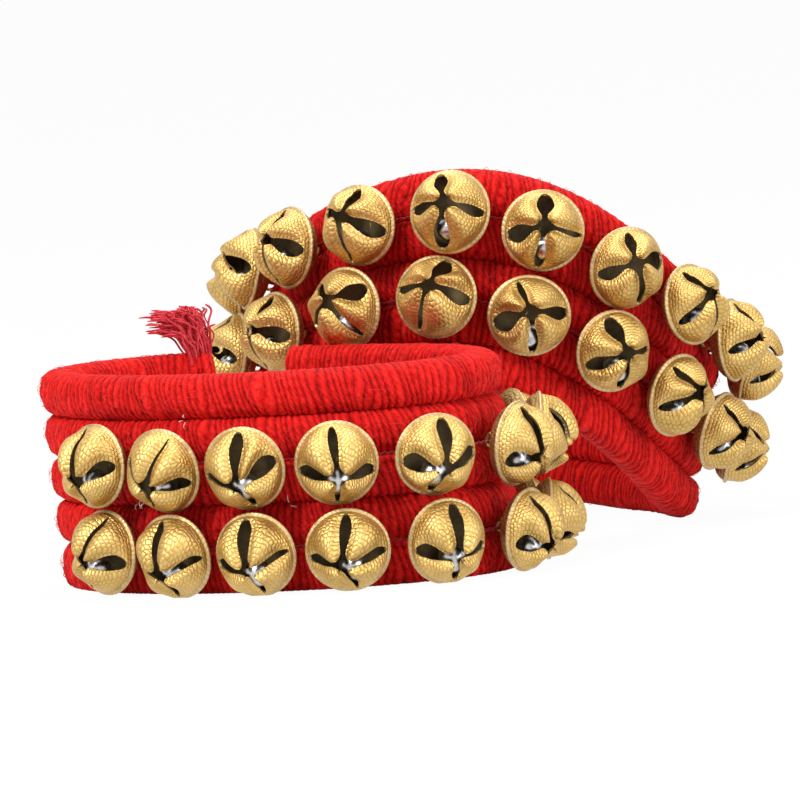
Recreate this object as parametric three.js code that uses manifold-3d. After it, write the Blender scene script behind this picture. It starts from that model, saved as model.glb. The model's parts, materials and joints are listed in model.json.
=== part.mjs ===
// A pair of ghungroo anklets, in millimetres with +Z up.
// Each anklet is an open strip of five yarn-wound ropes with two rows of brass jingle bells.
// One stands upright; the other stands behind it, upside down and arched over its rear bells.
import * as THREE from 'three';
import { mergeVertices } from 'three/addons/utils/BufferGeometryUtils.js';
import Module from 'manifold-3d';

// Ropes of the band
const ROPE_DIAMETER = 8.2;
const ROPE_COUNT = 5;
const ROPE_SIDES = 8;
const ROPE_STEPS = 27;
const FIT_GAP = 0.3;
const EDGE_SPREAD = 1;
const FLOOR_CUT = 0.5;

// Bells along the strip
const BELL_COLUMNS = 10;
const BELL_PITCH = 15.3;
const LONG_LEAD = 72.5;
const SHORT_LEAD = 9;

// One bell
const BELL_DIAMETER = 15.6;
const BELL_RIM = 0.3;
const BELL_FRONT_DEPTH = 7.4;
const BELL_BACK_DEPTH = 4;
const BELL_WALL = 0.7;
const BELL_SEGMENTS = 12;
const HOLLOW_SEGMENTS = 8;
const SLOT_NECK = 1;
const SLOT_WIDTH = 2.6;
const SLOT_REACH = 0.84;
const EYE_RADIUS = 1.5;
const EYE_WIRE = 0.7;
const EYE_EMBED = 0.6;

// Lacing cord and strip ends
const LACING_DIAMETER = 0.9;
const LACING_SIDES = 6;
const LACING_STEPS = 28;
const LACING_END = 6;
const BINDING_LENGTH = 5;
const TAIL_DIAMETER = 4.4;
const TAIL_RISE = 8.5;
const TAIL_BEND = 4;
const TAIL_ROOT = 2;
const TAIL_STUB = 7;

// The upright anklet: an oval turned so that one tip points front right
const UPRIGHT_LONG = 45.6;
const UPRIGHT_SHORT = 32.1;
const UPRIGHT_TURN = -35.5;
const UPRIGHT_MIDDLE = -5.6;
const UPRIGHT_LEAN = 0.06;

// The leaning anklet: nearly round, its front arched up
const LEANING_LONG = 44.5;
const LEANING_SHORT = 42;
const LEANING_TURN = -115;
const LEANING_MIDDLE = 15.6;
const LEANING_SIDE = 42.3;
const LEANING_STANDOFF = 34.5;
const LEANING_TILT = 4.3;
const LEANING_ROLL = 13.2;
const ARCH_HEIGHT = 19;
const ARCH_HALF_LENGTH = 67.5;

// How far each bell nods on its eye, in degrees, and how its slots are turned, first column first
const UPRIGHT_LOW_NODS = [2, -7, -8, -8, -7, -7, -4, -7, -7, -7];
const UPRIGHT_HIGH_NODS = [2, -9, -9, -8, -7, -7, -6, -8, -8, -8];
const LEANING_LOW_NODS = [-6, -4, -9, -7, 2, -6, -5, -5, -6, -6];
const LEANING_HIGH_NODS = [-7, -2, -6, -7, 4, -4, -7, 11, 12, -5];
const UPRIGHT_LOW_TURNS = [40, 8, 7, 0, -3, 10, 30, 15, 62, 35];
const UPRIGHT_HIGH_TURNS = [45, 5, 8, 0, -6, 20, 55, 70, 25, 48];
const LEANING_LOW_TURNS = [12, 0, 3, 45, -8, 20, 22, 35, 30, 45];
const LEANING_HIGH_TURNS = [6, 0, 10, -8, 12, 5, 25, 35, 30, 45];

// Colours
const YARN = { color: 0xd8141a, roughness: 0.85, metalness: 0 };
const LACE = { color: 0xa80d12, roughness: 0.8, metalness: 0 };
const BRASS = { color: 0xc9a24a, roughness: 0.35, metalness: 1 };

const ROPE_RADIUS = ROPE_DIAMETER / 2;
const ROPE_PITCH = ROPE_DIAMETER + FIT_GAP;
const BAND_HEIGHT = ROPE_DIAMETER + (ROPE_COUNT - 1) * ROPE_PITCH + EDGE_SPREAD;
const EYE_OUTER = EYE_RADIUS + EYE_WIRE / 2;
const EYE_REACH = Math.sqrt((ROPE_RADIUS + EYE_OUTER + FIT_GAP) ** 2 - (ROPE_PITCH / 2) ** 2);
const EQUATOR = EYE_OUTER - EYE_EMBED + BELL_BACK_DEPTH;
const BELL_RADIUS = BELL_DIAMETER / 2;
const LEANING_BACK = LEANING_LONG + LEANING_STANDOFF;
const COLUMN_SPAN = (BELL_COLUMNS - 1) * BELL_PITCH;
const LOOP_SAMPLES = 720;
const UP = new THREE.Vector3(0, 0, 1);

const wasm = await Module();
wasm.setup();

// Solid with shared vertices merged, from a closed geometry
function toSolid(geometry) {
  const bare = geometry.clone();
  bare.deleteAttribute('normal');
  bare.deleteAttribute('uv');
  const merged = mergeVertices(bare, 1e-4);
  const vertProperties = new Float32Array(merged.attributes.position.array);
  const triVerts = new Uint32Array(merged.index.array);
  return new wasm.Manifold(new wasm.Mesh({ numProp: 3, vertProperties, triVerts }));
}

function toGeometry(solid) {
  const mesh = solid.getMesh();
  const geometry = new THREE.BufferGeometry();
  geometry.setAttribute('position', new THREE.BufferAttribute(mesh.vertProperties.slice(), 3));
  geometry.setIndex(new THREE.BufferAttribute(mesh.triVerts.slice(), 1));
  geometry.computeVertexNormals();
  return geometry;
}

// Oval loop measured by its length from the tip at the end of the long half axis
class OvalLoop {
  constructor(long, short, turnDegrees) {
    this.long = long;
    this.short = short;
    this.turn = THREE.MathUtils.degToRad(turnDegrees);
    this.lengths = [0];
    for (let i = 1; i <= LOOP_SAMPLES; i += 1) {
      const step = this.raw(this.angle(i)).distanceTo(this.raw(this.angle(i - 1)));
      this.lengths.push(this.lengths[i - 1] + step);
    }
    this.total = this.lengths[LOOP_SAMPLES];
  }

  angle(index) {
    return (index / LOOP_SAMPLES) * 2 * Math.PI;
  }

  raw(angle) {
    return new THREE.Vector2(this.long * Math.cos(angle), this.short * Math.sin(angle));
  }

  angleAt(length) {
    const wanted = ((length % this.total) + this.total) % this.total;
    let low = 0;
    let high = LOOP_SAMPLES;
    while (high - low > 1) {
      const middle = (low + high) >> 1;
      if (this.lengths[middle] <= wanted) low = middle;
      else high = middle;
    }
    const part = (wanted - this.lengths[low]) / (this.lengths[high] - this.lengths[low]);
    return this.angle(low + part);
  }

  turned(x, y) {
    return new THREE.Vector2(x, y).rotateAround(new THREE.Vector2(), this.turn);
  }

  point(length) {
    const raw = this.raw(this.angleAt(length));
    return this.turned(raw.x, raw.y);
  }

  // Length of the loop's point that lies beside a place
  lengthNear(x, y) {
    const flat = new THREE.Vector2(x, y).rotateAround(new THREE.Vector2(), -this.turn);
    const angle = Math.atan2(flat.y / this.short, flat.x / this.long);
    const index = (angle / (2 * Math.PI)) * LOOP_SAMPLES;
    const low = Math.floor(index);
    const from = this.signedLength(low);
    return THREE.MathUtils.lerp(from, this.signedLength(low + 1), index - low);
  }

  signedLength(index) {
    return index < 0 ? -this.lengths[-index] : this.lengths[index];
  }

  normal(length) {
    const angle = this.angleAt(length);
    return this.turned(this.short * Math.cos(angle), this.long * Math.sin(angle)).normalize();
  }
}

// One strip: where its ropes, grooves and bells run
class Strip {
  constructor({ loop, middle, flipped, lean, arch }) {
    this.loop = loop;
    this.middle = middle;
    this.side = flipped ? -1 : 1;
    this.lean = lean;
    this.arch = arch;
    const half = COLUMN_SPAN / 2;
    this.start = middle - half - (flipped ? SHORT_LEAD : LONG_LEAD);
    this.end = middle + half + (flipped ? LONG_LEAD : SHORT_LEAD);
    this.ropeSpan = [this.start, this.end];
    this.lacingSpan = [middle - half - LACING_END, middle + half + LACING_END];
  }

  // Height of a rope's centre line: the bare rope is the last, at the top or, flipped, the bottom.
  // The first rope is pushed outwards by the bells' eyes.
  level(index) {
    const fromEdge = ROPE_RADIUS + index * ROPE_PITCH + (index > 0 ? EDGE_SPREAD : 0);
    return this.side * (fromEdge - BAND_HEIGHT / 2);
  }

  // Height of the groove below a rope, where a row of bells is laced
  grooveLevel(index) {
    return this.level(index) - (this.side * ROPE_PITCH) / 2;
  }

  rise(length) {
    const away = Math.abs(length - this.middle) / ARCH_HALF_LENGTH;
    return away < 1 ? this.arch * Math.cos((away * Math.PI) / 2) ** 2 : 0;
  }

  // Upward slope of the strip in degrees
  slope(length) {
    const step = ARCH_HALF_LENGTH / LOOP_SAMPLES;
    const climb = (this.rise(length + step) - this.rise(length - step)) / (2 * step);
    return THREE.MathUtils.radToDeg(Math.atan(climb));
  }

  // Place on the strip before its front is arched up
  flatAt(length, outward, level) {
    const point = this.loop.point(length);
    point.addScaledVector(this.loop.normal(length), outward);
    return new THREE.Vector3(point.x - this.lean * level, point.y, level);
  }

  at(length, outward, level) {
    const point = this.flatAt(length, outward, level);
    point.z += this.rise(length);
    return point;
  }

  // Arches a flat piece up with the strip's front, straight upwards
  arched(geometry) {
    const places = geometry.getAttribute('position');
    for (let i = 0; i < places.count; i += 1) {
      const length = this.loop.lengthNear(places.getX(i), places.getY(i));
      places.setZ(i, places.getZ(i) + this.rise(length));
    }
    return geometry;
  }

  outward(length) {
    const normal = this.loop.normal(length);
    return new THREE.Vector3(normal.x, normal.y, 0);
  }

  columnLength(column) {
    return this.middle - COLUMN_SPAN / 2 + column * BELL_PITCH;
  }
}

// Run of a rope or a cord along its strip
class StripRun extends THREE.Curve {
  constructor(strip, span, outward, level) {
    super();
    this.strip = strip;
    this.span = span;
    this.outward = outward;
    this.level = level;
  }

  getPoint(t, target = new THREE.Vector3()) {
    const length = THREE.MathUtils.lerp(this.span[0], this.span[1], t);
    return target.copy(this.strip.flatAt(length, this.outward, this.level));
  }
}

// Many-sided section whose flats lie at the diameter, one of them facing straight down
function roundSection(diameter, sides) {
  const radius = diameter / 2 / Math.cos(Math.PI / sides);
  const points = [];
  for (let i = 0; i < sides; i += 1) {
    const angle = ((i + 0.5) / sides) * 2 * Math.PI;
    points.push(new THREE.Vector2(Math.cos(angle), Math.sin(angle)).multiplyScalar(radius));
  }
  return new THREE.Shape(points);
}

function tube(path, diameter, sides, steps) {
  const section = roundSection(diameter, sides);
  return new THREE.ExtrudeGeometry(section, { steps, extrudePath: path });
}

function lathe(profile, segments) {
  const points = profile.map(([radius, height]) => new THREE.Vector2(radius, height));
  const geometry = new THREE.LatheGeometry(points, segments);
  return geometry.rotateX(Math.PI / 2);
}

// Cross-shaped slot seen along the bell's axis: narrow at the middle, wide towards the rim
function slotShape() {
  const reach = SLOT_REACH * BELL_RADIUS;
  const arm = [
    [SLOT_NECK / 2, -SLOT_NECK / 2],
    [reach, -SLOT_WIDTH / 2],
    [reach, SLOT_WIDTH / 2],
  ];
  const points = [];
  for (let quarter = 0; quarter < 4; quarter += 1) {
    for (const [x, y] of arm) {
      const point = new THREE.Vector2(x, y);
      points.push(point.rotateAround(new THREE.Vector2(), (quarter * Math.PI) / 2));
    }
  }
  return new THREE.Shape(points);
}

// Slotted shell of a bell with its equator at the height EQUATOR above the eye
function bellShell() {
  const r = BELL_RADIUS;
  const rim = r + BELL_RIM;
  const back = EQUATOR - BELL_BACK_DEPTH;
  const front = EQUATOR + BELL_FRONT_DEPTH;
  const outer = lathe([
    [0, back],
    [r * 0.62, EQUATOR - BELL_BACK_DEPTH * 0.78],
    [rim, EQUATOR],
    [r * 0.74, EQUATOR + BELL_FRONT_DEPTH * 0.68],
    [0, front],
  ], BELL_SEGMENTS);
  const inner = lathe([
    [0, back + BELL_WALL],
    [r - BELL_WALL, EQUATOR],
    [r * 0.74 - BELL_WALL, EQUATOR + BELL_FRONT_DEPTH * 0.68 - BELL_WALL],
    [0, front - BELL_WALL],
  ], HOLLOW_SEGMENTS);
  const slots = new THREE.ExtrudeGeometry(slotShape(), {
    depth: BELL_FRONT_DEPTH,
    bevelEnabled: false,
  });
  slots.translate(0, 0, EQUATOR + BELL_FRONT_DEPTH * 0.2);
  return toSolid(outer).subtract(toSolid(inner)).subtract(toSolid(slots));
}

const SHELL = bellShell();
const EYE = toSolid(new THREE.TorusGeometry(EYE_RADIUS, EYE_WIRE / 2, 4, 8).rotateY(Math.PI / 2));

// The eye's hole follows the lacing cord; the shell is turned on its axis
function bellGeometry(turnDegrees, cordDegrees) {
  const eye = EYE.rotate([0, 0, cordDegrees]);
  return toGeometry(SHELL.rotate([0, 0, turnDegrees]).add(eye));
}

// Block below the floor in the frame that the matrix places, to cut flat what stands on the floor
function floorBlock(matrix) {
  const side = 20 * BAND_HEIGHT;
  const block = new THREE.BoxGeometry(side, side, BAND_HEIGHT).translate(0, 0, -BAND_HEIGHT / 2);
  return toSolid(block.applyMatrix4(matrix.clone().invert()));
}

function addMesh(group, name, geometry, look) {
  const mesh = new THREE.Mesh(geometry, new THREE.MeshStandardMaterial(look));
  mesh.name = name;
  group.add(mesh);
  return mesh;
}

function addBell(group, strip, name, column, level, nodDegrees, turnDegrees) {
  const length = strip.columnLength(column);
  const outward = strip.outward(length);
  const along = new THREE.Vector3().crossVectors(UP, outward);
  const nod = THREE.MathUtils.degToRad(nodDegrees);
  const axis = outward.clone().multiplyScalar(Math.cos(nod)).addScaledVector(UP, Math.sin(nod));
  const mesh = addMesh(group, name, bellGeometry(turnDegrees, strip.slope(length)), BRASS);
  const basis = new THREE.Matrix4().makeBasis(along, axis.clone().cross(along), axis);
  mesh.quaternion.setFromRotationMatrix(basis);
  mesh.position.copy(strip.at(length, EYE_REACH, level));
}

// Binding that closes a strip's end, with a frayed yarn tail
function addTie(group, strip, name, length, direction, tailPoints) {
  const half = ROPE_RADIUS;
  const tall = BAND_HEIGHT / 2;
  const outline = new THREE.Shape();
  outline.moveTo(-half, -tall + half);
  outline.absarc(0, -tall + half, half, Math.PI, 2 * Math.PI);
  outline.absarc(0, tall - half, half, 0, Math.PI);
  const block = new THREE.ExtrudeGeometry(outline, {
    depth: BINDING_LENGTH,
    bevelEnabled: false,
    curveSegments: 6,
  });
  const tail = tube(new THREE.CatmullRomCurve3(tailPoints), TAIL_DIAMETER, 8, 6);
  const outward = strip.outward(length);
  const forward = new THREE.Vector3().crossVectors(UP, outward).multiplyScalar(direction);
  const across = new THREE.Vector3().crossVectors(UP, forward);
  const shear = new THREE.Matrix4();
  shear.elements[4] = -strip.lean * across.x;
  shear.elements[6] = -strip.lean * forward.x;
  const place = strip.at(length, 0, 0).addScaledVector(forward, FIT_GAP);
  const basis = new THREE.Matrix4().makeBasis(across, UP, forward);
  const floor = floorBlock(group.matrix.clone().multiply(basis.clone().setPosition(place)));
  const solid = toSolid(block.applyMatrix4(shear)).add(toSolid(tail.applyMatrix4(shear)));
  const mesh = addMesh(group, name, toGeometry(solid.subtract(floor)), YARN);
  mesh.quaternion.setFromRotationMatrix(basis);
  mesh.position.copy(place);
}

function buildAnklet(group, strip, prefix, nods, turns, tails) {
  group.updateMatrix();
  const floor = floorBlock(group.matrix);
  for (let i = 0; i < ROPE_COUNT; i += 1) {
    const run = new StripRun(strip, strip.ropeSpan, 0, strip.level(i));
    const rope = strip.arched(tube(run, ROPE_DIAMETER, ROPE_SIDES, ROPE_STEPS));
    const solid = toSolid(rope).subtract(floor);
    addMesh(group, `${prefix}_rope_${i + 1}`, toGeometry(solid), YARN);
  }
  for (const [row, rope] of [['low', 1], ['high', 3]]) {
    const place = strip.side > 0 ? row : { low: 'high', high: 'low' }[row];
    const level = strip.grooveLevel(rope);
    const run = new StripRun(strip, strip.lacingSpan, EYE_REACH, level);
    const lacing = strip.arched(tube(run, LACING_DIAMETER, LACING_SIDES, LACING_STEPS));
    addMesh(group, `${prefix}_lacing_${place}`, lacing, LACE);
    for (let column = 0; column < BELL_COLUMNS; column += 1) {
      const name = `${prefix}_bell_${place}_${String(column + 1).padStart(2, '0')}`;
      addBell(group, strip, name, column, level, nods[place][column], turns[place][column]);
    }
  }
  addTie(group, strip, `${prefix}_tie_left`, strip.start, -1, tails.left);
  addTie(group, strip, `${prefix}_tie_right`, strip.end, 1, tails.right);
}

function tailPath(points) {
  return points.map(([across, up, forward]) => new THREE.Vector3(across, up, forward));
}

const middleOfBinding = BINDING_LENGTH / 2;
const bindingTop = BAND_HEIGHT / 2;
const standingTail = tailPath([
  [0, bindingTop - TAIL_ROOT, middleOfBinding],
  [0, bindingTop + TAIL_RISE * 0.4, middleOfBinding],
  [-TAIL_BEND * 0.1, bindingTop + TAIL_RISE * 0.8, middleOfBinding - TAIL_BEND * 0.3],
  [-TAIL_BEND * 0.2, bindingTop + TAIL_RISE, middleOfBinding - TAIL_BEND],
]);
const stubTail = tailPath([
  [0, 0, middleOfBinding],
  [0, -TAIL_STUB * 0.1, BINDING_LENGTH + TAIL_STUB * 0.5],
  [0, -TAIL_STUB * 0.3, BINDING_LENGTH + TAIL_STUB],
]);

const upright = new THREE.Group();
upright.position.set(0, 0, BAND_HEIGHT / 2 - FLOOR_CUT);
buildAnklet(
  upright,
  new Strip({
    loop: new OvalLoop(UPRIGHT_LONG, UPRIGHT_SHORT, UPRIGHT_TURN),
    middle: UPRIGHT_MIDDLE,
    flipped: false,
    lean: UPRIGHT_LEAN,
    arch: 0,
  }),
  'upright',
  { low: UPRIGHT_LOW_NODS, high: UPRIGHT_HIGH_NODS },
  { low: UPRIGHT_LOW_TURNS, high: UPRIGHT_HIGH_TURNS },
  { left: standingTail, right: stubTail },
);

// The leaning strip is lowered until its lowest rope dips below the floor by the floor cut
function restOnFloor(group, strip) {
  group.updateMatrix();
  let lowest = Infinity;
  for (let i = 0; i <= LOOP_SAMPLES; i += 1) {
    const length = THREE.MathUtils.lerp(strip.start, strip.end, i / LOOP_SAMPLES);
    const point = strip.at(length, 0, strip.level(ROPE_COUNT - 1)).applyMatrix4(group.matrix);
    lowest = Math.min(lowest, point.z - ROPE_RADIUS);
  }
  group.position.z -= lowest + FLOOR_CUT;
}

const leaning = new THREE.Group();
leaning.rotation.order = 'YXZ';
leaning.rotation.set(
  THREE.MathUtils.degToRad(-LEANING_TILT),
  THREE.MathUtils.degToRad(LEANING_ROLL),
  0,
);
leaning.position.set(LEANING_SIDE, LEANING_BACK, 0);
const leaningStrip = new Strip({
  loop: new OvalLoop(LEANING_LONG, LEANING_SHORT, LEANING_TURN),
  middle: LEANING_MIDDLE,
  flipped: true,
  lean: 0,
  arch: ARCH_HEIGHT,
});
restOnFloor(leaning, leaningStrip);
buildAnklet(
  leaning,
  leaningStrip,
  'leaning',
  { low: LEANING_LOW_NODS, high: LEANING_HIGH_NODS },
  { low: LEANING_LOW_TURNS, high: LEANING_HIGH_TURNS },
  { left: stubTail, right: stubTail },
);

// Origin under the middle of the pair's box
const pair = new THREE.Group();
pair.add(upright, leaning);
pair.updateMatrixWorld(true);
const box = new THREE.Box3().setFromObject(pair, true);
const centre = box.getCenter(new THREE.Vector3());
pair.position.set(-centre.x, -centre.y, -box.min.z);

export default pair;
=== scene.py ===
import json
import math
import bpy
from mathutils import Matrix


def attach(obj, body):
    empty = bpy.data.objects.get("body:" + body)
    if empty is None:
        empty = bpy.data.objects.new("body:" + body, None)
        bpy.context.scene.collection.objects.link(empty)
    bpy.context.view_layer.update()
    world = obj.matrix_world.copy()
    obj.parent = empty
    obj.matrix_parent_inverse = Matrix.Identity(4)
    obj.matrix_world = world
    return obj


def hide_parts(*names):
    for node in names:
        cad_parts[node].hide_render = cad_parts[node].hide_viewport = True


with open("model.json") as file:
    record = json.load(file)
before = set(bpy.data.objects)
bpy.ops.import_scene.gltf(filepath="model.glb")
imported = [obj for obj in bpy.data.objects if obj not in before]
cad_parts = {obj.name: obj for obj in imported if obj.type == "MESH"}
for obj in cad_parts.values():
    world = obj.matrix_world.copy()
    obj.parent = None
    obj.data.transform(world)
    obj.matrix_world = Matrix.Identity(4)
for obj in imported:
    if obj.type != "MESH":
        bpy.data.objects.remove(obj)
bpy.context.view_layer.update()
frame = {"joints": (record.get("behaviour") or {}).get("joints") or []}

from types import SimpleNamespace

import bmesh
import bpy
import numpy as np
from bpy.props import FloatProperty, FloatVectorProperty, IntProperty, PointerProperty
from bpy.types import Operator, Panel, PropertyGroup
from mathutils import Matrix, Vector

bl_info = {
    "name": "Ghungroo ankle bells",
    "version": (1, 0, 0),
    "blender": (4, 5, 0),
    "location": "3D View > Sidebar > Ghungroo",
    "description": "Builds a pair of yarn-wound anklets set with brass jingle bells",
    "category": "Object",
}

MM = 0.001

# Sizes shared with the solids, in millimetres
ROPE_COUNT = 5
ROPE_RADIUS = 4.1
ROPE_PITCH = 8.5
EDGE_SPREAD = 1.0
BAND_HEIGHT = 2 * ROPE_RADIUS + (ROPE_COUNT - 1) * ROPE_PITCH + EDGE_SPREAD
BELL_COLUMNS = 10
BELL_PITCH = 15.3
COLUMN_SPAN = (BELL_COLUMNS - 1) * BELL_PITCH
LONG_LEAD = 72.5
SHORT_LEAD = 9.0
LACING_END = 6.0
ARCH_HALF_LENGTH = 67.5
EYE_RADIUS = 1.5
EYE_WIRE = 0.35
EYE_ROOM = 0.3
EYE_REACH = math.sqrt((ROPE_RADIUS + EYE_RADIUS + EYE_WIRE + EYE_ROOM) ** 2 - (ROPE_PITCH / 2) ** 2)
EQUATOR = 5.25
BINDING_LENGTH = 5.0
TAIL_RISE = 8.5

# Sizes of the finished surfaces alone, in millimetres
ROPE_PRESS = 0.22
EYE_DENT = 0.5
DENT_LENGTH = 2.1
BARE_AT_EYE = 3.4
BARE_IN_GROOVE = 3.0
BINDING_OVERLAP = 1.6
PLY_OFFSET = 0.21
PLY_RADIUS = 0.23
PLY_TWIST = 2.6
STRAND_RADIUS = 0.22
FIBRE_RADIUS = 0.045
THREAD_RADIUS = 0.13
SLOT_END = 7.62
SLOT_WIDEST = 6.55
TIP_BASE = 3.1
TIP_END = 1.7
EDGE_CURL = 0.7
CURL_WIDTH = 0.85
PETAL_CROWN = 0.7
DOME_ARC = 7.6
PELLET_DROP = 3.35

# How far a dent reaches round a rope, in radians
DENT_ANGLE = 0.55

# Loose strands of the standing tuft and of the other strip ends
STANDING_STRANDS = 210
STUB_STRANDS = 24

# Lowest points of yarn and of fibres above the floor, in metres
YARN_FLOOR = 0.00002
FIBRE_FLOOR = 0.0001

# Rows of a bell's back and front in degrees from its rim; the slots begin at the fourth of the front
BACK_STEPS = (90, 78, 66, 54, 42, 30, 20, 11, 4)
FRONT_STEPS = (
    2, 6, 9, 12, 12.6, 14, 17, 21, 26, 31, 36, 41, 46, 51, 56, 60, 64, 67, 70, 72.5, 74.5, 76)
SLOT_START = math.radians(FRONT_STEPS[3])

# Least and greatest slot widths of the bells that are not listed, as shares of the usual one
SLOT_SHARES = ((0.35, 0.65, 1.0, 1.15), (0.65, 1.0, 1.35, 1.6))

# How far the petals' meeting point has slid along the band and up its dome, in degrees
SLIDE_ALONG = (-12, 4)
SLIDE_UP = {"upright": (-26, -14), "leaning": (4, 17)}

# How the slots of each bell are turned on its axis, in degrees, first column first
TURNS = {
    "upright_bell_low": (-18, 8, 7, 0, -3, 10, 30, 15, 62, 35),
    "upright_bell_high": (0, -18, 8, 0, -6, 20, 55, 70, 25, 48),
    "leaning_bell_low": (12, 0, 3, 45, -8, 20, 22, 35, 30, 45),
    "leaning_bell_high": (6, 0, 10, -8, 12, 5, 25, 35, 30, 45),
}

# Half widths of the right, top, left and bottom slots of some bells, in millimetres
SLOT_WIDTHS = {
    "upright_bell_low": {
        1: (1.9, 0.6, 1.4, 0.6),
        2: (1.0, 1.1, 1.1, 0.7),
        3: (0.8, 1.7, 1.5, 0.7),
        4: (1.2, 1.4, 1.3, 0.6),
        5: (1.4, 1.5, 1.8, 0.9),
        7: (0.7, 0.9, 1.1, 0.7),
    },
    "upright_bell_high": {
        1: (1.8, 0.6, 1.4, 0.6),
        2: (1.5, 0.3, 1.4, 0.5),
        3: (2.1, 1.6, 1.0, 0.9),
        4: (1.6, 1.15, 1.6, 0.6),
        5: (1.9, 1.8, 2.2, 1.2),
        7: (0.7, 1.2, 1.4, 0.8),
    },
    "leaning_bell_low": {
        3: (1.9, 1.4, 1.0, 0.8),
        4: (2.2, 1.3, 1.3, 0.7),
        8: (0.9, 1.0, 1.3, 0.8),
        9: (0.6, 0.8, 1.2, 0.6),
        10: (0.6, 0.7, 1.0, 0.6),
    },
    "leaning_bell_high": {
        2: (1.9, 0.9, 0.8, 0.6),
        3: (2.0, 0.8, 0.9, 0.6),
        4: (1.9, 1.5, 1.3, 0.5),
        5: (1.3, 1.7, 1.4, 1.9),
        8: (0.9, 1.0, 1.2, 0.7),
        9: (0.6, 0.8, 1.2, 0.6),
        10: (0.6, 0.7, 1.0, 0.6),
    },
}

# Tips of the four petals bent out of or, when negative, into the bell, in millimetres
PETAL_BENDS = {
    "upright_bell_high_05": (-0.6, 0.2, -0.5, 0.1),
    "upright_bell_high_07": (0.5, -0.7, 0.2, -0.4),
    "upright_bell_low_05": (0.2, -0.5, 0.1, -0.6),
    "leaning_bell_low_02": (-0.8, 0.4, -0.5, 0.3),
    "leaning_bell_low_03": (0.4, -0.9, 0.2, -0.5),
}


class OvalLoop:
    """Oval measured by its length from the tip of its long half axis."""

    def __init__(self, long, short, turn):
        self.long = long
        self.short = short
        self.turn = math.radians(turn)
        self.angles = np.linspace(0, 2 * math.pi, 1441)
        x = long * np.cos(self.angles)
        y = short * np.sin(self.angles)
        steps = np.hypot(np.diff(x), np.diff(y))
        self.lengths = np.concatenate([[0], np.cumsum(steps)])

    def turned(self, x, y):
        c, s = math.cos(self.turn), math.sin(self.turn)
        return np.stack([c * x - s * y, s * x + c * y], axis=-1)

    def angle_at(self, length):
        return np.interp(np.mod(length, self.lengths[-1]), self.lengths, self.angles)

    def point(self, length):
        angle = self.angle_at(length)
        return self.turned(self.long * np.cos(angle), self.short * np.sin(angle))

    def normal(self, length):
        angle = self.angle_at(length)
        x = self.short * np.cos(angle)
        y = self.long * np.sin(angle)
        size = np.hypot(x, y)
        return self.turned(x / size, y / size)


class Strip:
    """Where the ropes, grooves and bells of one anklet run, in the frame of the solids."""

    def __init__(self, prefix, loop, middle, flipped, lean=0.0, arch=0.0, tilt=0.0, roll=0.0):
        self.prefix = prefix
        self.body = prefix + "_band"
        self.loop = loop
        self.middle = middle
        self.side = -1 if flipped else 1
        self.lean = lean
        self.arch = arch
        half = COLUMN_SPAN / 2
        self.start = middle - half - (SHORT_LEAD if flipped else LONG_LEAD)
        self.end = middle + half + (LONG_LEAD if flipped else SHORT_LEAD)
        rolled = Matrix.Rotation(math.radians(roll), 3, "Y")
        self.turn = np.array(rolled @ Matrix.Rotation(math.radians(-tilt), 3, "X"))
        self.offset = np.zeros(3)
        eye = self.place(self.column(0), EYE_REACH, self.groove("high"))
        self.offset = np.array(bell_joint(prefix + "_bell_high_01")["pos_m"]) / MM - eye / MM

    def level(self, index):
        edge = ROPE_RADIUS + index * ROPE_PITCH + (EDGE_SPREAD if index > 0 else 0)
        return self.side * (edge - BAND_HEIGHT / 2)

    def groove(self, row):
        index = 1 if (row == "low") == (self.side > 0) else 3
        return self.level(index) - self.side * ROPE_PITCH / 2

    def column(self, index):
        return self.middle - COLUMN_SPAN / 2 + index * BELL_PITCH

    def rise(self, length):
        away = np.minimum(np.abs(length - self.middle) / ARCH_HALF_LENGTH, 1)
        return self.arch * np.cos(away * math.pi / 2) ** 2

    def slope(self, length):
        return math.atan((self.rise(length + 0.05) - self.rise(length - 0.05)) / 0.1)

    def place(self, length, outward, level):
        """Point in metres; the arguments may be arrays that broadcast together."""
        length, outward, level = np.broadcast_arrays(length, outward, level)
        flat = self.loop.point(length) + self.loop.normal(length) * outward[..., None]
        aside = flat[..., 0] - self.lean * level
        local = np.stack([aside, flat[..., 1], level + self.rise(length)], axis=-1)
        return (local @ self.turn.T + self.offset) * MM

    def directions(self, length):
        """Unit vectors outwards, along and up at a place of the strip."""
        flat = self.loop.normal(length)
        out = self.turn @ np.array([flat[0], flat[1], 0.0])
        along = self.turn @ np.array([-flat[1], flat[0], 0.0])
        return out, along, self.turn @ np.array([0.0, 0.0, 1.0])


def bell_joint(bell):
    return next(joint for joint in frame["joints"] if joint["child"] == bell)


# Both anklets, with loops, places and leans as in the solids, in millimetres and degrees
FRONT_LOOP = OvalLoop(long=45.6, short=32.1, turn=-35.5)
BACK_LOOP = OvalLoop(long=44.5, short=42.0, turn=-115)
STRIPS = (
    Strip("upright", FRONT_LOOP, middle=-5.6, flipped=False, lean=0.06),
    Strip("leaning", BACK_LOOP, middle=15.6, flipped=True, arch=19.0, tilt=4.3, roll=13.2),
)


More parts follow.
